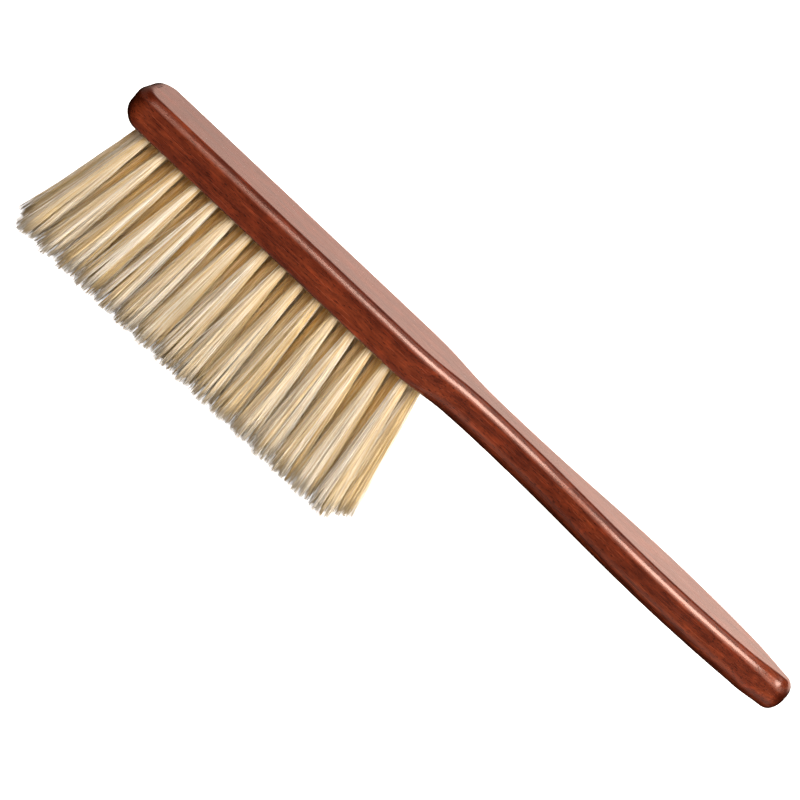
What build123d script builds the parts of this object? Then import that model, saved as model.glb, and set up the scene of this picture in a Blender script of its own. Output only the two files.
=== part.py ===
from build123d import *
import math
import os

# Neck duster brush: a one-piece turned and varnished wooden block with three
# staggered rows of bristle tufts, each held in its own blind hole by a small
# flat-wire anchor. Millimetres, +X along the handle, back of the head up (+Z),
# the bristle tips trimmed to stand on Z = 0.

# ---------------------------------------------------------------- dimensions
block_length = 300.0        # head end to handle end
block_thickness = 13.1      # of the head; the grip adds its belly
bristle_reach = 55.0        # underside of the head to the trimmed tips
head_width = 24.0
head_corner_radius = 7.5    # plan view
head_end_round = 4.8        # side view: the head's end face runs into back and underside
head_straight = 112.0       # where the constant-width head ends
top_round = 3.0             # round-over of every upper edge
head_bottom_round = 1.2     # the head's underside keeps a crisper edge
grip_round = 3.3            # round-over of the grip's upper edges
grip_bottom_round = 6.0     # and of its lower edges, nearly a half round
grip_belly = 0.8            # the grip's underside swells this far below the head's

# station along the block and its width there, from the head to the end cap
width_stations = [
    (112.0, 24.0), (116.0, 24.0), (120.0, 24.0), (126.0, 23.95), (131.0, 23.75),
    (135.5, 23.2), (139.5, 22.1), (143.5, 20.5), (147.5, 18.6), (151.5, 16.9),
    (156.0, 15.6), (161.0, 14.9), (167.0, 14.65), (174.0, 14.7), (182.0, 15.0),
    (190.0, 15.6), (199.0, 16.9), (208.0, 18.5), (217.0, 20.1), (226.0, 21.4),
    (235.0, 22.25), (243.0, 22.45), (251.0, 22.1), (259.0, 21.35), (267.0, 20.2),
    (274.0, 18.7), (280.0, 17.0), (285.0, 15.2), (289.0, 13.35), (292.0, 11.75),
    (294.3, 10.55), (296.3, 9.6), (297.8, 8.2), (298.9, 6.2), (299.6, 4.0), (300.0, 2.0),
]
# the handle's end also draws in from above and below, as its round-over closes
end_draw = {296.3: 0.06, 297.8: 0.48, 298.9: 1.35, 299.6: 2.35, 300.0: 3.50}

# tuft layout
tuft_pitch = 8.04           # along the head
first_tuft = 13.3           # first tuft of the outer rows, from the head end
outer_count = 16
middle_count = 17           # staggered half a pitch, so it reaches past both ends
row_spacing = 6.3           # across the head
hole_diameter = 3.5
hole_depth = 8.0
root_diameter = 3.3         # the bundle where it enters the wood
tip_length = 9.2            # spread bundle at the tips, along the head
tip_width = 11.4            # and across it
lean_at_head = 12.6         # degrees, first tuft of the middle row, away from the handle
lean_at_neck = 8.4          # degrees, last tuft of the middle row, towards the handle
row_splay = 5.5             # degrees, outward lean of the outer rows

# flat-wire anchor, one across the bottom of each hole
anchor_length = 4.2         # longer than the hole is wide, so it bites the wood
anchor_height = 1.6
anchor_gauge = 0.35
fold_height = 1.0           # the fold of the tuft lies under the anchor

# ------------------------------------------------------------- the frame
head_end = -146.396         # the brush's own box is centred on X = 0
underside = bristle_reach
back = underside + block_thickness


def station(s):
    """Model X of a distance from the head end."""
    return head_end + s


def bottom_round(s):
    """Lower round-over: crisp on the head, running out to the grip's radius."""
    t = min(max((s - 131.0) / 20.0, 0.0), 1.0)
    t = t * t * (3.0 - 2.0 * t)
    return head_bottom_round + (grip_bottom_round - head_bottom_round) * t


def ease(t):
    t = min(max(t, 0.0), 1.0)
    return t * t * (3.0 - 2.0 * t)


def belly(s):
    """How far the underside lies below the head's."""
    return grip_belly * ease((s - 131.0) / 26.0) * (1.0 - ease((s - 284.0) / 14.0))


def upper_round(s):
    t = min(max((s - 131.0) / 20.0, 0.0), 1.0)
    t = t * t * (3.0 - 2.0 * t)
    return top_round + (grip_round - top_round) * t


def lean_angle(s):
    """Lean along the head in degrees, + towards the handle."""
    s0 = first_tuft - tuft_pitch / 2.0
    s1 = s0 + (middle_count - 1) * tuft_pitch
    return -lean_at_head + (lean_at_head + lean_at_neck) * (s - s0) / (s1 - s0)


def tuft_plane(s, y, row):
    """Plane at the mouth of a hole, its normal along the tuft towards the tips."""
    a = math.radians(lean_angle(s))
    b = math.radians(row_splay * row)
    z_dir = Vector(math.tan(a), math.tan(b), -1.0).normalized()
    x_dir = Vector(1.0, 0.0, math.tan(a)).normalized()
    return Plane(origin=(station(s), y, underside), x_dir=x_dir, z_dir=z_dir)


tufts = []                  # (name, plane, row)
for i in range(outer_count):
    s = first_tuft + i * tuft_pitch
    tufts.append((f"tuft_front_{i + 1:02d}", tuft_plane(s, -row_spacing, -1), -1))
for i in range(middle_count):
    s = first_tuft + (i - 0.5) * tuft_pitch
    tufts.append((f"tuft_middle_{i + 1:02d}", tuft_plane(s, 0.0, 0), 0))
for i in range(outer_count):
    s = first_tuft + i * tuft_pitch
    tufts.append((f"tuft_rear_{i + 1:02d}", tuft_plane(s, row_spacing, 1), 1))


def reach(plane):
    """Length of a tuft beyond its hole, trimmed so that no tip passes Z = 0."""
    d = plane.z_dir
    drop = math.hypot(d.X * tip_length / 2.0, d.Y * tip_width / 2.0)
    level = (bristle_reach - drop) / -d.Z
    return min(bristle_reach, level)


os.makedirs("parts", exist_ok=True)

# ------------------------------------------------------------ handle block
# sections across the block: (X, width, lowest Z, highest Z, low radius, high radius)
end_sections = []
for k in range(9):
    turn = math.radians(90.0 * k / 8)
    s = head_corner_radius * (1.0 - math.cos(turn))
    width = head_width - 2.0 * head_corner_radius * (1.0 - math.sin(turn))
    inner = max(head_end_round - s, 0.0)
    draw = head_end_round - math.sqrt(head_end_round ** 2 - inner ** 2)
    end_sections.append((station(s), width, underside + draw, back - draw,
                         head_bottom_round, min(top_round, (block_thickness / 2.0 - draw) * 0.9)))
grip_sections = []
for s, width in width_stations:
    draw = end_draw.get(s, 0.0)
    grip_sections.append((station(s), width, underside - belly(s) + draw, back - draw,
                          min(bottom_round(s), width / 2.0 - 0.15),
                          min(upper_round(s), width / 2.0 - 0.15)))

with BuildPart() as block:
    # rounded end of the head, then shoulder, waisted neck, swelling grip and
    # rounded end of the handle: two lofts of rounded sections (local x = Y,
    # local y = Z)
    for sections in (end_sections, grip_sections):
        for x, width, low, high, r_low, r_high in sections:
            w = width / 2.0
            with BuildSketch(Plane.YZ.offset(x)):
                with BuildLine():
                    Line((-w + r_low, low), (w - r_low, low))
                    RadiusArc((w - r_low, low), (w, low + r_low), -r_low)
                    Line((w, low + r_low), (w, high - r_high))
                    RadiusArc((w, high - r_high), (w - r_high, high), -r_high)
                    Line((w - r_high, high), (-w + r_high, high))
                    RadiusArc((-w + r_high, high), (-w, high - r_high), -r_high)
                    Line((-w, high - r_high), (-w, low + r_low))
                    RadiusArc((-w, low + r_low), (-w + r_low, low), -r_low)
                make_face()
        loft()
    # the head between them, one constant section
    x, width, low, high, r_low, r_high = end_sections[-1]
    w = width / 2.0
    with BuildSketch(Plane.YZ.offset(x)):
        with BuildLine():
            Line((-w + r_low, low), (w - r_low, low))
            RadiusArc((w - r_low, low), (w, low + r_low), -r_low)
            Line((w, low + r_low), (w, high - r_high))
            RadiusArc((w, high - r_high), (w - r_high, high), -r_high)
            Line((w - r_high, high), (-w + r_high, high))
            RadiusArc((-w + r_high, high), (-w, high - r_high), -r_high)
            Line((-w, high - r_high), (-w, low + r_low))
            RadiusArc((-w, low + r_low), (-w + r_low, low), -r_low)
        make_face()
    extrude(amount=head_straight - head_corner_radius)
    # blind tuft holes, fanned along the head and splayed across it, each with
    # the narrow kerf that its anchor cuts into the two sides of the hole
    for name, plane, row in tufts:
        bottom = Plane(origin=plane.origin - plane.z_dir * hole_depth,
                       x_dir=plane.x_dir, z_dir=plane.z_dir)
        with BuildSketch(bottom):
            Circle(hole_diameter / 2.0)
        extrude(amount=hole_depth + 3.0, mode=Mode.SUBTRACT)
    for name, plane, row in tufts:
        kerf = Plane(origin=plane.origin - plane.z_dir * (hole_depth - fold_height + 0.02),
                     x_dir=plane.x_dir, z_dir=plane.z_dir)
        with BuildSketch(kerf):
            Rectangle(anchor_gauge + 0.04, anchor_length + 0.04)
        extrude(amount=anchor_height + 0.04, mode=Mode.SUBTRACT)
block.part.label = "handle_block"
export_step(block.part, "parts/handle_block.step")

# ----------------------------------------------------------- tuft anchors
with BuildPart() as tuft_anchors:
    for name, plane, row in tufts:
        seat = Plane(origin=plane.origin - plane.z_dir * (hole_depth - fold_height),
                     x_dir=plane.x_dir, z_dir=plane.z_dir)
        with BuildSketch(seat):
            Rectangle(anchor_gauge, anchor_length)
        extrude(amount=anchor_height)
tuft_anchors.part.label = "tuft_anchors"
export_step(tuft_anchors.part, "parts/tuft_anchors.step")

# ----------------------------------------------------------- bristle tufts
box_low, box_high = block.part.bounding_box().min.X, block.part.bounding_box().max.X
z_low = 1e9
for name, plane, row in tufts:
    with BuildPart() as tuft:
        # folded root, packed tight in its hole, then free bristles spreading
        # towards the trimmed tips
        for along, rx, ry in (
            (-(hole_depth - 0.15), root_diameter / 2.0, root_diameter / 2.0 + 0.02),
            (1.0, root_diameter / 2.0, root_diameter / 2.0 + 0.02),
            (reach(plane), tip_length / 2.0, tip_width / 2.0),
        ):
            with BuildSketch(Plane(origin=plane.origin + plane.z_dir * along,
                                   x_dir=plane.x_dir, z_dir=plane.z_dir)):
                Ellipse(ry, rx, rotation=90)
        loft(ruled=True)
        # the gap that the anchor fills, right across the bundle above its fold
        slot = Plane(origin=plane.origin - plane.z_dir * (hole_depth - fold_height + 0.02),
                     x_dir=plane.x_dir, z_dir=plane.z_dir)
        with BuildSketch(slot):
            Rectangle(anchor_gauge + 0.04, anchor_length + 0.04)
        extrude(amount=anchor_height + 0.04, mode=Mode.SUBTRACT)
    tuft.part.label = name
    export_step(tuft.part, f"parts/{name}.step")
    box = tuft.part.bounding_box()
    box_low, box_high = min(box_low, box.min.X), max(box_high, box.max.X)
    z_low = min(z_low, box.min.Z)

print("box X", round(box_low, 3), round(box_high, 3), "centre", round((box_low + box_high) / 2, 3),
      "lowest tip", round(z_low, 3))
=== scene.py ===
import math

import bmesh
import bpy
import numpy as np
from mathutils import Matrix, Vector


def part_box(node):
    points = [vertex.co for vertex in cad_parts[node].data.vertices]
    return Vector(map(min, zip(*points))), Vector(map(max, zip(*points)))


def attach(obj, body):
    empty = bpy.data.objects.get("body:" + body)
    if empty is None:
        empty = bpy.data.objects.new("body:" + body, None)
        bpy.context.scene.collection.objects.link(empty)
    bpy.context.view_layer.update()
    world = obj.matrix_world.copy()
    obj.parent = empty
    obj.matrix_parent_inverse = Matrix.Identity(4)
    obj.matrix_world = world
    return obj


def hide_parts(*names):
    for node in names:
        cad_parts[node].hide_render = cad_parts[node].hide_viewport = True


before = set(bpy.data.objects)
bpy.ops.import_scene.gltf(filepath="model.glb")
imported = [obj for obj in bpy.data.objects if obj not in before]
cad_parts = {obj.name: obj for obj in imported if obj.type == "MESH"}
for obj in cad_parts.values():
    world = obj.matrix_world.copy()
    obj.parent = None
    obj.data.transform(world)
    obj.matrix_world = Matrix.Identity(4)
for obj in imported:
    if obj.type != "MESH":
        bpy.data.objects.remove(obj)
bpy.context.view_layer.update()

MM = 0.001
scene = bpy.context.scene

# ------------------------------------------------------------------ layout
# The same numbers as the design, in millimetres.
block_lo, block_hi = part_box("handle_block")
HEAD_END = block_lo[0] / MM
UNDER, THICK = 55.0, 13.1
HEAD_W, CORNER = 24.0, 7.5
STATIONS = [
    (112.0, 24.0), (116.0, 24.0), (120.0, 24.0), (126.0, 23.95), (131.0, 23.75),
    (135.5, 23.2), (139.5, 22.1), (143.5, 20.5), (147.5, 18.6), (151.5, 16.9),
    (156.0, 15.6), (161.0, 14.9), (167.0, 14.65), (174.0, 14.7), (182.0, 15.0),
    (190.0, 15.6), (199.0, 16.9), (208.0, 18.5), (217.0, 20.1), (226.0, 21.4),
    (235.0, 22.25), (243.0, 22.45), (251.0, 22.1), (259.0, 21.35), (267.0, 20.2),
    (274.0, 18.7), (280.0, 17.0), (285.0, 15.2), (289.0, 13.35), (292.0, 11.75),
    (294.3, 10.55), (296.3, 9.8), (297.8, 8.4), (298.9, 6.33), (299.6, 3.96),
    (300.0, 0.0),
]
PITCH, FIRST = 8.04, 13.3
ROW = 6.3
HOLE_R, HOLE_DEPTH = 1.75, 8.0
LEAN_HEAD, LEAN_NECK, SPLAY = 12.6, 8.4, 5.5
TIP_X, TIP_Y = 9.2, 11.4
ROOT_R = 1.6


def smooth_step(t):
    t = min(max(t, 0.0), 1.0)
    return t * t * (3.0 - 2.0 * t)


def radii(s):
    """Upper and lower round-over at a distance s from the head end."""
    t = smooth_step((s - 131.0) / 20.0)
    head = 1.0 - smooth_step(s / 8.5)
    end = smooth_step((s - 280.0) / 16.0)
    return 3.0 + 0.3 * t + 1.1 * head + 0.7 * end, 1.2 + 4.8 * t + 3.0 * head - 2.0 * end


def belly(s):
    """How far the grip's underside swells below the head's."""
    return 0.8 * smooth_step((s - 131.0) / 26.0) * (1.0 - smooth_step((s - 284.0) / 14.0))


def catmull(points, per):
    """Centripetal Catmull-Rom through 2-D points, `per` samples a span."""
    p = [np.array(q, float) for q in points]
    p = [2 * p[0] - p[1]] + p + [np.array([p[-2][0], -p[-2][1]])]
    out = []
    for i in range(1, len(p) - 2):
        a, b, c, d = p[i - 1], p[i], p[i + 1], p[i + 2]
        t0 = 0.0
        t1 = t0 + np.linalg.norm(b - a) ** 0.5
        t2 = t1 + np.linalg.norm(c - b) ** 0.5
        t3 = t2 + np.linalg.norm(d - c) ** 0.5
        for k in range(per):
            t = t1 + (t2 - t1) * k / per
            a1 = (t1 - t) / (t1 - t0) * a + (t - t0) / (t1 - t0) * b
            a2 = (t2 - t) / (t2 - t1) * b + (t - t1) / (t2 - t1) * c
            a3 = (t3 - t) / (t3 - t2) * c + (t - t2) / (t3 - t2) * d
            b1 = (t2 - t) / (t2 - t0) * a1 + (t - t0) / (t2 - t0) * a2
            b2 = (t3 - t) / (t3 - t1) * a2 + (t - t1) / (t3 - t1) * a3
            out.append((t2 - t) / (t2 - t1) * b1 + (t - t1) / (t2 - t1) * b2)
    out.append(p[-2])
    return out


def tuft_frames():
    """Name, hole mouth, direction, cross axes and row of every tuft."""
    s0 = FIRST - PITCH / 2.0
    s1 = s0 + 16 * PITCH
    out = []
    for row, y, count, start, label in (
        (-1, -ROW, 16, FIRST, "front"), (0, 0.0, 17, s0, "middle"), (1, ROW, 16, FIRST, "rear"),
    ):
        for i in range(count):
            s = start + i * PITCH
            lean = -LEAN_HEAD + (LEAN_HEAD + LEAN_NECK) * (s - s0) / (s1 - s0)
            ta, tb = math.tan(math.radians(lean)), math.tan(math.radians(SPLAY * row))
            d = np.array([ta, tb, -1.0]); d /= np.linalg.norm(d)
            ex = np.array([1.0, 0.0, ta]); ex /= np.linalg.norm(ex)
            ey = np.cross(d, ex)
            mouth = np.array([HEAD_END + s, y, UNDER])
            out.append((f"tuft_{label}_{i + 1:02d}", mouth, d, ex, ey, row, lean, i))
    return out


TUFTS = tuft_frames()


# --------------------------------------------------------------- materials
def nodes_of(mat):
    mat.use_nodes = True
    nt = mat.node_tree
    for n in list(nt.nodes):
        nt.nodes.remove(n)
    out = nt.nodes.new("ShaderNodeOutputMaterial")
    sh = nt.nodes.new("ShaderNodeBsdfPrincipled")
    nt.links.new(sh.outputs[0], out.inputs[0])
    return nt, sh


def node(nt, kind, **values):
    n = nt.nodes.new(kind)
    for k, v in values.items():
        setattr(n, k, v)
    return n


def ramp(nt, source, stops, interpolation="LINEAR"):
    n = nt.nodes.new("ShaderNodeValToRGB")
    n.color_ramp.interpolation = interpolation
    while len(n.color_ramp.elements) < len(stops):
        n.color_ramp.elements.new(0.5)
    for e, (pos, col) in zip(n.color_ramp.elements, stops):
        e.position = pos
        e.color = (*col, 1.0) if len(col) == 3 else col
    nt.links.new(source, n.inputs[0])
    return n.outputs[0]


def math_node(nt, op, a, b=None, clamp=False):
    n = nt.nodes.new("ShaderNodeMath")
    n.operation = op
    n.use_clamp = clamp
    for i, v in enumerate((a, b)):
        if v is None:
            continue
        if isinstance(v, (int, float)):
            n.inputs[i].default_value = v
        else:
            nt.links.new(v, n.inputs[i])
    return n.outputs[0]


def mix_rgb(nt, blend_type, fac, a, b):
    n = nt.nodes.new("ShaderNodeMix")
    n.data_type = "RGBA"
    n.blend_type = blend_type
    n.clamp_result = False
    for sock, v in ((n.inputs[0], fac), (n.inputs[6], a), (n.inputs[7], b)):
        if isinstance(v, (int, float)):
            sock.default_value = v
        elif isinstance(v, tuple):
            sock.default_value = (*v, 1.0)
        else:
            nt.links.new(v, sock)
    return n.outputs[2]


def noise(nt, vec, scale, detail=4.0, rough=0.55, distortion=0.0):
    n = nt.nodes.new("ShaderNodeTexNoise")
    n.inputs["Scale"].default_value = scale
    n.inputs["Detail"].default_value = detail
    n.inputs["Roughness"].default_value = rough
    n.inputs["Distortion"].default_value = distortion
    nt.links.new(vec, n.inputs["Vector"])
    return n.outputs["Fac"]


def mapping(nt, vec, scale, location=(0, 0, 0), rotation=(0, 0, 0)):
    n = nt.nodes.new("ShaderNodeMapping")
    n.inputs["Scale"].default_value = scale
    n.inputs["Location"].default_value = location
    n.inputs["Rotation"].default_value = rotation
    nt.links.new(vec, n.inputs["Vector"])
    return n.outputs["Vector"]


def wood_material():
    """Mahogany-stained, varnished beech: fine grain along X, short pore flecks, mottled stain."""
    mat = bpy.data.materials.new("varnished_mahogany")
    nt, sh = nodes_of(mat)
    co = node(nt, "ShaderNodeTexCoord").outputs["Object"]
    # long grain: slow bands across, drawn out along the block
    grain = noise(nt, mapping(nt, co, (16.0, 300.0, 300.0), rotation=(0.15, 0.0, 0.012)), 1.0, 6.0, 0.6, 0.5)
    fibre = noise(nt, mapping(nt, co, (70.0, 1700.0, 1700.0)), 1.0, 3.0, 0.6)
    mottle = noise(nt, mapping(nt, co, (110.0, 330.0, 330.0), location=(3, 1, 2)), 1.0, 4.0, 0.6, 0.3)
    pores = noise(nt, mapping(nt, co, (420.0, 3600.0, 3600.0), location=(5, 2, 7)), 1.0, 1.0, 0.4)
    base = ramp(nt, grain, [(0.30, (0.052, 0.0078, 0.0030)), (0.48, (0.088, 0.0146, 0.0050)),
                            (0.62, (0.126, 0.0232, 0.0076)), (0.78, (0.074, 0.0116, 0.0040))])
    red = ramp(nt, mottle, [(0.36, (0.70, 0.62, 0.60)), (0.52, (1.0, 1.0, 1.0)), (0.70, (1.50, 1.38, 1.25))])
    base = mix_rgb(nt, "MULTIPLY", 1.0, base, red)
    fine = ramp(nt, fibre, [(0.35, (0.84, 0.80, 0.80)), (0.65, (1.14, 1.13, 1.12))])
    base = mix_rgb(nt, "MULTIPLY", 1.0, base, fine)
    pore = ramp(nt, pores, [(0.335, (0.45, 0.40, 0.38)), (0.400, (1.0, 1.0, 1.0))])
    base = mix_rgb(nt, "MULTIPLY", 1.0, base, pore)
    # ends darkened by which way they face: partly end grain taking more stain, mostly painted shade on the block's
    # dark ends
    facing = node(nt, "ShaderNodeSeparateXYZ")
    nt.links.new(node(nt, "ShaderNodeTexCoord").outputs["Normal"], facing.inputs[0])
    end_on = math_node(nt, "ABSOLUTE", facing.outputs[0])
    end_stain_and_shade = ramp(nt, end_on, [(0.30, (1.0, 1.0, 1.0)), (0.62, (0.62, 0.60, 0.60)), (0.95, (0.22, 0.20, 0.22))])
    base = mix_rgb(nt, "MULTIPLY", 1.0, base, end_stain_and_shade)
    nt.links.new(base, sh.inputs["Base Color"])
    rough = ramp(nt, fibre, [(0.3, (0.20,) * 3), (0.7, (0.29,) * 3)])
    nt.links.new(rough, sh.inputs["Roughness"])
    # varnish follows the pores a little and is never perfectly level
    level = noise(nt, mapping(nt, co, (45.0, 150.0, 150.0)), 1.0, 2.0, 0.5)
    height = math_node(nt, "ADD", math_node(nt, "MULTIPLY", pores, 0.30), math_node(nt, "MULTIPLY", level, 0.9))
    height = math_node(nt, "ADD", height, math_node(nt, "MULTIPLY", fibre, 0.22))
    bump = node(nt, "ShaderNodeBump")
    bump.inputs["Strength"].default_value = 0.35
    bump.inputs["Distance"].default_value = 0.00025
    nt.links.new(height, bump.inputs["Height"])
    nt.links.new(bump.outputs[0], sh.inputs["Normal"])
    nt.links.new(bump.outputs[0], sh.inputs["Coat Normal"])
    sh.inputs["IOR"].default_value = 1.5
    sh.inputs["Specular IOR Level"].default_value = 0.95
    sh.inputs["Specular Tint"].default_value = (1.0, 0.62, 0.50, 1.0)
    sh.inputs["Coat Weight"].default_value = 0.35
    sh.inputs["Coat Roughness"].default_value = 0.12
    sh.inputs["Coat IOR"].default_value = 1.5
    return mat


def bristle_material(name, shade_along_hair):
    """Bleached bristle: each hair its own cream, with painted shade along the hair, darker and more golden towards
    the root.
    """
    mat = bpy.data.materials.new(name)
    nt, sh = nodes_of(mat)
    strand = node(nt, "ShaderNodeAttribute", attribute_name="strand").outputs["Fac"]
    along = node(nt, "ShaderNodeAttribute", attribute_name="along").outputs["Fac"]
    co = node(nt, "ShaderNodeTexCoord").outputs["Object"]
    hair = ramp(nt, strand, [(0.0, (0.565, 0.400, 0.165)), (0.34, (0.61, 0.480, 0.260)),
                             (0.72, (0.76, 0.730, 0.635)), (1.0, (0.83, 0.820, 0.790))])
    # painted shade: the ramp along the hair darkens the roots, and painted light brightens the tips
    col = mix_rgb(nt, "MULTIPLY", 1.0, hair, ramp(nt, along, shade_along_hair))
    streak = noise(nt, mapping(nt, co, (900.0, 900.0, 70.0)), 1.0, 2.0, 0.5)
    tone = ramp(nt, streak, [(0.3, (0.92, 0.88, 0.82)), (0.7, (1.04, 1.04, 1.04))])
    col = mix_rgb(nt, "MULTIPLY", 1.0, col, tone)
    nt.links.new(col, sh.inputs["Base Color"])
    rough = ramp(nt, streak, [(0.3, (0.40,) * 3), (0.7, (0.54,) * 3)])
    nt.links.new(rough, sh.inputs["Roughness"])
    sh.inputs["IOR"].default_value = 1.45
    sh.inputs["Sheen Weight"].default_value = 0.12
    sh.inputs["Sheen Roughness"].default_value = 0.4
    return mat


def wire_material():
    """Drawn steel flat wire, with fine lines along it."""
    mat = bpy.data.materials.new("anchor_steel")
    nt, sh = nodes_of(mat)
    co = node(nt, "ShaderNodeTexCoord").outputs["Object"]
    lines = noise(nt, mapping(nt, co, (4000.0, 300.0, 4000.0)), 1.0, 2.0, 0.5)
    col = ramp(nt, lines, [(0.3, (0.42, 0.42, 0.41)), (0.7, (0.66, 0.66, 0.64))])
    nt.links.new(col, sh.inputs["Base Color"])
    rough = ramp(nt, lines, [(0.3, (0.28,) * 3), (0.7, (0.45,) * 3)])
    nt.links.new(rough, sh.inputs["Roughness"])
    sh.inputs["Metallic"].default_value = 1.0
    return mat


# ------------------------------------------------------------------- block
def block_mesh():
    """The wooden block: its plan outline swept with the round-overs, plus flat back and underside."""
    half = []                                    # (s, y), head end to handle end, y >= 0
    flat = HEAD_W / 2.0 - CORNER
    for k in range(3):
        half.append((0.0, flat * k / 3.0))
    for k in range(20):
        a = math.radians(90.0 * k / 20)
        half.append((CORNER - CORNER * math.cos(a), flat + CORNER * math.sin(a)))
    s = CORNER
    while s < 111.5:
        half.append((s, HEAD_W / 2.0))
        s += 0.5 if s < 12.0 else 1.5
    curve = catmull([(q, w / 2.0) for q, w in STATIONS], 6)
    half += [(float(q[0]), float(q[1])) for q in curve]
    half[-1] = (300.0, 0.0)
    pts = np.array(half)
    n = len(pts)
    # outward normals on the mirrored closed outline
    prev = np.vstack([[pts[1][0], -pts[1][1]], pts[:-1]])
    nxt = np.vstack([pts[1:], [pts[-2][0], -pts[-2][1]]])
    tan = nxt - prev
    tan /= np.linalg.norm(tan, axis=1)[:, None]
    nor = np.stack([-tan[:, 1], tan[:, 0]], axis=1)
    nor[0], nor[-1] = (-1.0, 0.0), (1.0, 0.0)
    arc = 12
    profile = []                                 # per point: (inset, z) from back to underside
    for i in range(n):
        rt, rb = radii(pts[i][0])
        low = -belly(pts[i][0])
        head = 1.0 - smooth_step(pts[i][0] / 9.0)
        end = smooth_step((pts[i][0] - 286.0) / 13.0)
        ht, hb = rt + 0.3 * head + 1.0 * end, rb + 0.9 * head + 2.2 * end
        line = []
        for k in range(arc + 1):
            a = math.radians(90.0 * k / arc)
            line.append((rt - rt * math.sin(a), THICK - ht + ht * math.cos(a)))
        for k in range(1, 5):
            z = (THICK - ht) + (low + hb - (THICK - ht)) * k / 5.0
            line.append((0.0, z))
        for k in range(arc + 1):
            a = math.radians(90.0 * k / arc)
            line.append((rb - rb * math.cos(a), low + hb - hb * math.sin(a)))
        profile.append(line)
    m = len(profile[0])
    verts, faces = [], []
    index = {}
    for side in (1, -1):
        for i in range(n):
            for j in range(m):
                if side == -1 and (i == 0 or i == n - 1):
                    index[(side, i, j)] = index[(1, i, j)]
                    continue
                inset, z = profile[i][j]
                x = pts[i][0] - nor[i][0] * inset
                y = pts[i][1] - nor[i][1] * inset
                index[(side, i, j)] = len(verts)
                verts.append((HEAD_END + x, side * y, UNDER + z))
    for i in range(n - 1):
        for j in range(m - 1):
            a, b = index[(1, i, j)], index[(1, i + 1, j)]
            c, d = index[(1, i + 1, j + 1)], index[(1, i, j + 1)]
            faces.append((a, b, c, d))
            a, b = index[(-1, i, j)], index[(-1, i + 1, j)]
            c, d = index[(-1, i + 1, j + 1)], index[(-1, i, j + 1)]
            faces.append((a, d, c, b))
    # flat back and underside, a strip of quads between the mirrored edges
    across = [-1.0, -0.97, -0.75, -0.5, -0.25, 0.0, 0.25, 0.5, 0.75, 0.97, 1.0]
    for j, up in ((0, True), (m - 1, False)):
        rows = []
        for i in range(n):
            if i == 0 or i == n - 1:
                rows.append([index[(1, i, j)]])
                continue
            right, left = index[(-1, i, j)], index[(1, i, j)]
            y = verts[left][1]
            row = [right]
            for t in across[1:-1]:
                row.append(len(verts))
                verts.append((verts[left][0], y * t, verts[left][2]))
            row.append(left)
            rows.append(row)
        for i in range(n - 1):
            r0, r1 = rows[i], rows[i + 1]
            if len(r0) == 1:
                quads = [(r0[0], r1[k + 1], r1[k]) for k in range(len(r1) - 1)]
            elif len(r1) == 1:
                quads = [(r0[k], r0[k + 1], r1[0]) for k in range(len(r0) - 1)]
            else:
                quads = [(r0[k], r0[k + 1], r1[k + 1], r1[k]) for k in range(len(r0) - 1)]
            for q in quads:
                faces.append(tuple(reversed(q)) if up else q)
    mesh = bpy.data.meshes.new("handle_wood")
    mesh.from_pydata([(x * MM, y * MM, z * MM) for x, y, z in verts], [], faces)
    mesh.validate()
    bm = bmesh.new()
    bm.from_mesh(mesh)
    bmesh.ops.remove_doubles(bm, verts=bm.verts, dist=1e-7)
    bmesh.ops.dissolve_degenerate(bm, edges=bm.edges, dist=1e-7)
    bmesh.ops.recalc_face_normals(bm, faces=bm.faces)
    bm.to_mesh(mesh)
    bm.free()
    return mesh


def hole_cutters():
    """One mesh of 49 round cutters, for the tuft holes."""
    bm = bmesh.new()
    sides = 28
    for name, mouth, d, ex, ey, row, lean, i in TUFTS:
        rings = []
        for depth, r in ((-HOLE_DEPTH, 0.0), (-HOLE_DEPTH + 0.6, HOLE_R), (-0.30, HOLE_R), (0.6, HOLE_R + 0.70)):
            if r == 0.0:
                rings.append([bm.verts.new((mouth + d * depth) * MM)])
                continue
            ring = []
            for k in range(sides):
                a = 2 * math.pi * k / sides
                ring.append(bm.verts.new((mouth + d * depth + ex * r * math.cos(a) + ey * r * math.sin(a)) * MM))
            rings.append(ring)
        tip, *tube = rings
        for k in range(sides):
            q = (k + 1) % sides
            bm.faces.new((tip[0], tube[0][q], tube[0][k]))
            for a, b in zip(tube, tube[1:]):
                bm.faces.new((a[k], a[q], b[q], b[k]))
        bm.faces.new(tube[-1][::-1])
    bmesh.ops.recalc_face_normals(bm, faces=bm.faces)
    mesh = bpy.data.meshes.new("cutters")
    bm.to_mesh(mesh)
    bm.free()
    return mesh


def build_block(mat):
    obj = bpy.data.objects.new("handle_wood", block_mesh())
    scene.collection.objects.link(obj)
    cutter = bpy.data.objects.new("cutter", hole_cutters())
    scene.collection.objects.link(cutter)
    mod = obj.modifiers.new("holes", "BOOLEAN")
    mod.operation, mod.object, mod.solver = "DIFFERENCE", cutter, "EXACT"
    dg = bpy.context.evaluated_depsgraph_get()
    done = bpy.data.meshes.new_from_object(obj.evaluated_get(dg))
    obj.modifiers.clear()
    obj.data = done
    bpy.data.objects.remove(cutter)
    done.materials.clear()
    done.materials.append(mat)
    done.shade_smooth()
    done.set_sharp_from_angle(angle=math.radians(32.0))
    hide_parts("handle_block")
    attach(obj, "root")
    return obj


# ------------------------------------------------------------------- tufts
STRANDS = 360
SEGMENTS = 7


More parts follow.
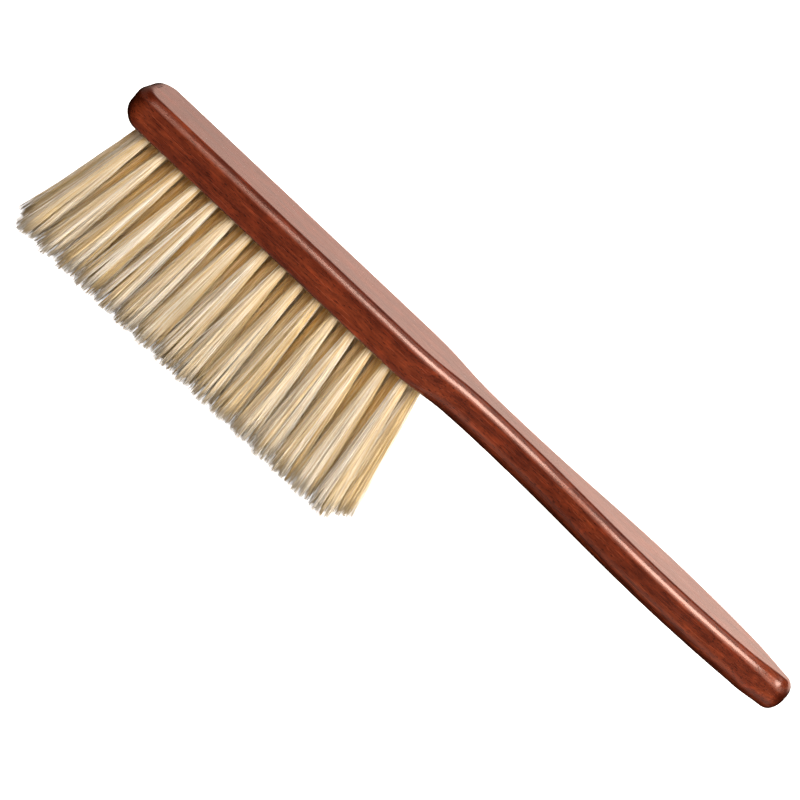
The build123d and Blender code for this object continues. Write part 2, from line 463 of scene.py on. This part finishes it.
def tuft_mesh(name, mouth, d, ex, ey, row, lean, i):
    rng = np.random.default_rng(1000 + 100 * (row + 1) + i)
    n, k = STRANDS, SEGMENTS
    # packed root disc
    r = ROOT_R * np.sqrt((np.arange(n) + 0.5) / n)
    a = np.arange(n) * 2.399963 + rng.uniform(0, 6.28)
    ru = r * np.cos(a) + rng.normal(0, 0.04, n)
    rv = r * np.sin(a) + rng.normal(0, 0.04, n)
    # where each hair ends, drawn a little towards its wisp
    tu = ru / ROOT_R * TIP_X / 2 * 1.02 + rng.normal(0, 0.70, n)
    tv = rv / ROOT_R * TIP_Y / 2 * 0.98 + rng.normal(0, 0.70, n)
    wisps = 11
    wa = rng.uniform(0, 6.28) + np.arange(wisps) * 2.399963
    wr = np.sqrt((np.arange(wisps) + 0.5) / wisps)
    wu, wv = wr * np.cos(wa) * TIP_X / 2, wr * np.sin(wa) * TIP_Y / 2
    near = np.argmin((tu[:, None] - wu) ** 2 + (tv[:, None] - wv) ** 2, axis=1)
    pull = rng.uniform(0.15, 0.50, wisps)[near] * rng.uniform(0.4, 1.2, n)
    tu = tu + (wu[near] - tu) * pull
    tv = tv + (wv[near] - tv) * pull
    # trimmed level, the neck corner cut back a little
    along = (mouth + (UNDER / -d[2]) * d)[0] - HEAD_END + tu * ex[0] + tv * ey[0]
    neck = np.clip(along - 141.0, 0, None) ** 2 * 0.012
    rise = 0.10 + neck + np.abs(rng.normal(0, 0.48, n)) + rng.uniform(0, 0.6, wisps)[near]
    short = rng.random(n) < 0.07
    rise = rise + short * rng.uniform(0.5, 5.0, n)
    t = np.concatenate([[-0.045], np.linspace(0.0, 1.0, k) ** 0.92])
    # reach of the tuft along d to its own height
    level = (UNDER - rise + tu * ex[2] + tv * ey[2]) / -d[2]
    spread = np.clip(t, 0, 1)[None, :] ** 1.12
    bow = np.sin(np.pi * np.clip(t, 0, 1))[None, :]
    bu = rng.normal(0, 0.30, n)[:, None] + rng.normal(0, 0.25, wisps)[near][:, None]
    bv = rng.normal(0, 0.30, n)[:, None] + rng.normal(0, 0.25, wisps)[near][:, None]
    stray = (rng.random(n) < 0.012)[:, None]
    su = stray * rng.normal(0, 2.4, n)[:, None] * np.clip(t, 0, 1)[None, :] ** 2
    sv = stray * rng.normal(0, 2.4, n)[:, None] * np.clip(t, 0, 1)[None, :] ** 2
    u = ru[:, None] + (tu - ru)[:, None] * spread + bu * bow + su
    v = rv[:, None] + (tv - rv)[:, None] * spread + bv * bow + sv
    # hairs that lean out from the tuft's axis run a little longer than it does
    w = level[:, None] * t[None, :]
    p = mouth + w[..., None] * d + u[..., None] * ex + v[..., None] * ey
    low = p[..., 2].min(axis=1)
    lift = np.clip(0.12 - low, 0, None)
    p[..., 2] += lift[:, None] * np.clip(t, 0, 1)[None, :]
    # tubes
    rad = np.interp(np.clip(t, 0, 1), [0, 0.6, 0.9, 1.0], [0.098, 0.095, 0.084, 0.046])
    rad = rad[None, :] * rng.uniform(0.85, 1.15, n)[:, None]
    turn = rng.uniform(0, 6.28, n)
    m = len(t)
    verts = np.empty((n, m, 3, 3))
    for c in range(3):
        ang = turn + c * 2 * math.pi / 3
        off = np.cos(ang)[:, None, None] * ex + np.sin(ang)[:, None, None] * ey
        verts[:, :, c, :] = p + rad[..., None] * off
    verts = verts.reshape(-1, 3) * MM
    base = (np.arange(n) * m * 3)[:, None, None]
    seg = (np.arange(m - 1) * 3)[None, :, None]
    c0 = np.arange(3)[None, None, :]
    c1 = (np.arange(3) + 1)[None, None, :] % 3
    quads = np.stack([base + seg + c0, base + seg + c1, base + seg + 3 + c1, base + seg + 3 + c0], axis=-1)
    # the cross axes and the direction make a right-handed set, so the sides face outward
    quads = quads.reshape(-1, 4)
    caps = (np.arange(n) * m * 3 + (m - 1) * 3)[:, None] + np.arange(3)[None, :]
    ends = (np.arange(n) * m * 3)[:, None] + np.array([2, 1, 0])[None, :]
    mesh = bpy.data.meshes.new(name + "_hair")
    nv, nq, nt = len(verts), len(quads), len(caps) + len(ends)
    mesh.vertices.add(nv)
    mesh.vertices.foreach_set("co", verts.astype(np.float32).ravel())
    loops = np.concatenate([quads.ravel(), caps.ravel(), ends.ravel()]).astype(np.int32)
    mesh.loops.add(len(loops))
    mesh.loops.foreach_set("vertex_index", loops)
    mesh.polygons.add(nq + nt)
    starts = np.concatenate([np.arange(nq) * 4, nq * 4 + np.arange(nt) * 3]).astype(np.int32)
    mesh.polygons.foreach_set("loop_start", starts)
    mesh.update(calc_edges=True)
    mesh.validate()
    shade = rng.random(n) * 0.55 + rng.random(wisps)[near] * 0.45
    fa = mesh.attributes.new("strand", "FLOAT", "POINT")
    fa.data.foreach_set("value", np.repeat(shade, m * 3).astype(np.float32))
    fb = mesh.attributes.new("along", "FLOAT", "POINT")
    fb.data.foreach_set("value", np.tile(np.repeat(np.clip(t, 0, 1), 3), n).astype(np.float32))
    mesh.shade_smooth()
    return mesh


def build_tufts(outer, shaded_middle):
    for name, mouth, d, ex, ey, row, lean, i in TUFTS:
        obj = bpy.data.objects.new(name + "_hair", tuft_mesh(name, mouth, d, ex, ey, row, lean, i))
        # the middle row, apart from its end tufts, gets the copy with painted shade
        obj.data.materials.append(shaded_middle if row == 0 and 0 < i < 16 else outer)
        scene.collection.objects.link(obj)
        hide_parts(name)
        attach(obj, "root")


wood = wood_material()
# outer hairs: painted shade at the root, painted light (factor above 1) at the tips
outer_hair = bristle_material("bristle_outer", [
    (0.0, (0.92, 0.84, 0.70)), (0.20, (1.0, 0.98, 0.95)), (0.70, (1.0, 1.0, 1.0)), (1.0, (1.05, 1.045, 1.03))])
# a golden, darker copy of the same bristle for the middle row: painted shade between the tufts, not a different
# hair
shaded_middle_hair = bristle_material("bristle_middle_painted_shade", [
    (0.0, (0.97, 0.71, 0.36)), (0.45, (1.14, 0.94, 0.60)), (0.80, (1.12, 1.03, 0.88)), (1.0, (1.08, 1.06, 1.01))])
steel = wire_material()
build_block(wood)
build_tufts(outer_hair, shaded_middle_hair)
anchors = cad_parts["tuft_anchors"]
for s in anchors.material_slots:
    s.material = steel

# ------------------------------------------------------------------- stage
floor_mesh = bpy.data.meshes.new("floor")
F = 9.0
floor_mesh.from_pydata([(-F, -F, 0), (F, -F, 0), (F, F, 0), (-F, F, 0)], [], [(0, 1, 2, 3)])
floor = bpy.data.objects.new("floor", floor_mesh)
scene.collection.objects.link(floor)
pale = bpy.data.materials.new("pale_floor")
nt, sh = nodes_of(pale)
sh.inputs["Base Color"].default_value = (0.90, 0.90, 0.90, 1.0)
sh.inputs["Roughness"].default_value = 0.9
sh.inputs["Specular IOR Level"].default_value = 0.1
sh.inputs["Emission Color"].default_value = (1.0, 1.0, 1.0, 1.0)
sh.inputs["Emission Strength"].default_value = 0.74
floor_mesh.materials.append(pale)
floor.visible_glossy = False
floor.visible_diffuse = False

# world: pale round the horizon, dim overhead and below, so the varnish has something to mirror
world = bpy.data.worlds.new("studio")
scene.world = world
world.use_nodes = True
wt = world.node_tree
for x in list(wt.nodes):
    wt.nodes.remove(x)
w_out = wt.nodes.new("ShaderNodeOutputWorld")
direction = node(wt, "ShaderNodeTexCoord").outputs["Generated"]
parts = wt.nodes.new("ShaderNodeSeparateXYZ")
wt.links.new(direction, parts.inputs[0])
up = math_node(wt, "ADD", math_node(wt, "MULTIPLY", parts.outputs[2], 0.5), 0.5)
ring = ramp(wt, up, [
    (0.47, (0.0, 0.0, 0.0)), (0.54, (2.27, 1.70, 1.46)), (0.73, (2.27, 1.70, 1.46)),
    (0.79, (0.06,) * 3), (1.0, (0.05,) * 3)])
low = ramp(wt, up, [(0.03, (0.03,) * 3), (0.09, (0.50, 0.46, 0.43)), (0.23, (0.50, 0.46, 0.43)),
                    (0.31, (0.05,) * 3), (0.47, (0.03,) * 3), (0.50, (0.0, 0.0, 0.0))])
front = ramp(wt, math_node(wt, "ADD", math_node(wt, "MULTIPLY", parts.outputs[1], 0.5), 0.5),
             [(0.0, (1.0,) * 3), (0.40, (1.0,) * 3), (0.50, (0.06,) * 3), (1.0, (0.06,) * 3)])
side = ramp(wt, math_node(wt, "ADD", math_node(wt, "MULTIPLY", parts.outputs[0], 0.5), 0.5),
            [(0.0, (0.05,) * 3), (0.32, (0.15,) * 3), (0.48, (1.0,) * 3), (0.80, (1.0,) * 3), (0.97, (0.12,) * 3)])
light = mix_rgb(wt, "MULTIPLY", 1.0, mix_rgb(wt, "ADD", 1.0, ring, mix_rgb(wt, "MULTIPLY", 1.0, low, front)), side)
seen = node(wt, "ShaderNodeLightPath").outputs["Is Camera Ray"]
final = mix_rgb(wt, "MIX", seen, light, (0.97, 0.97, 0.97))
bg = wt.nodes.new("ShaderNodeBackground")
wt.links.new(final, bg.inputs[0])
bg.inputs[1].default_value = 1.0
wt.links.new(bg.outputs[0], w_out.inputs[0])


def area(name, location, target, size_x, size_y, power, colour=(1, 1, 1)):
    data = bpy.data.lights.new(name, "AREA")
    data.shape = "RECTANGLE"
    data.size, data.size_y = size_x, size_y
    data.energy = power
    data.color = colour
    obj = bpy.data.objects.new(name, data)
    obj.location = location
    aim = Vector(target) - Vector(location)
    obj.rotation_mode = "QUATERNION"
    obj.rotation_quaternion = aim.to_track_quat("-Z", "Y")
    scene.collection.objects.link(obj)
    obj.visible_camera = False
    return obj


area("key_wide", (0.10, -0.94, 1.77), (0.10, 0.0, 0.0), 0.90, 4.4, 15.0, (1.0, 0.95, 0.90))
area("key_core", (0.34, -1.41, 1.41), (0.34, 0.0, 0.0), 1.30, 1.2, 50.0, (1.0, 0.94, 0.89))
fill = area("right_fill", (1.30, -0.62, 0.42), (0.0, 0.0, 0.03), 1.0, 0.9, 34.0, (1.0, 0.99, 0.965))
fill.visible_glossy = False
# low behind, so that the far side isn't left in the dark
fill = area("rear_fill", (0.10, 1.75, 0.24), (0.0, 0.0, 0.05), 2.4, 0.42, 40.0, (1.0, 0.98, 0.95))
fill.visible_glossy = False

# ------------------------------------------------------------------ camera
AZIMUTH, ELEVATION, ROLL = 7.0, 20.5, 40.94
a, e = math.radians(AZIMUTH), math.radians(ELEVATION)
to_camera = Vector((math.sin(a) * math.cos(e), -math.cos(a) * math.cos(e), math.sin(e)))
right = Vector((math.cos(a), math.sin(a), 0.0))
upward = to_camera.cross(right)
c, s = math.cos(math.radians(ROLL)), math.sin(math.radians(ROLL))
right, upward = right * c + upward * s, upward * c - right * s
FIELD = 0.26996
DISTANCE = 1.6
middle = Vector(((block_lo[0] + block_hi[0]) / 2, 0.0, (block_lo[2] + block_hi[2]) / 2))
target = middle - right * (57.6 * FIELD / 800) - upward * (5.6 * FIELD / 800)
cam_data = bpy.data.cameras.new("camera")
cam_data.sensor_width = 36.0
cam_data.lens = 36.0 * DISTANCE / FIELD
cam_data.clip_end = 50.0
cam = bpy.data.objects.new("camera", cam_data)
scene.collection.objects.link(cam)
m = Matrix((
    (right.x, upward.x, to_camera.x, 0), (right.y, upward.y, to_camera.y, 0),
    (right.z, upward.z, to_camera.z, 0), (0, 0, 0, 1),
))
cam.matrix_world = Matrix.Translation(target + to_camera * DISTANCE) @ m
scene.camera = cam
scene.view_settings.view_transform = "Standard"
scene.view_settings.look = "None"
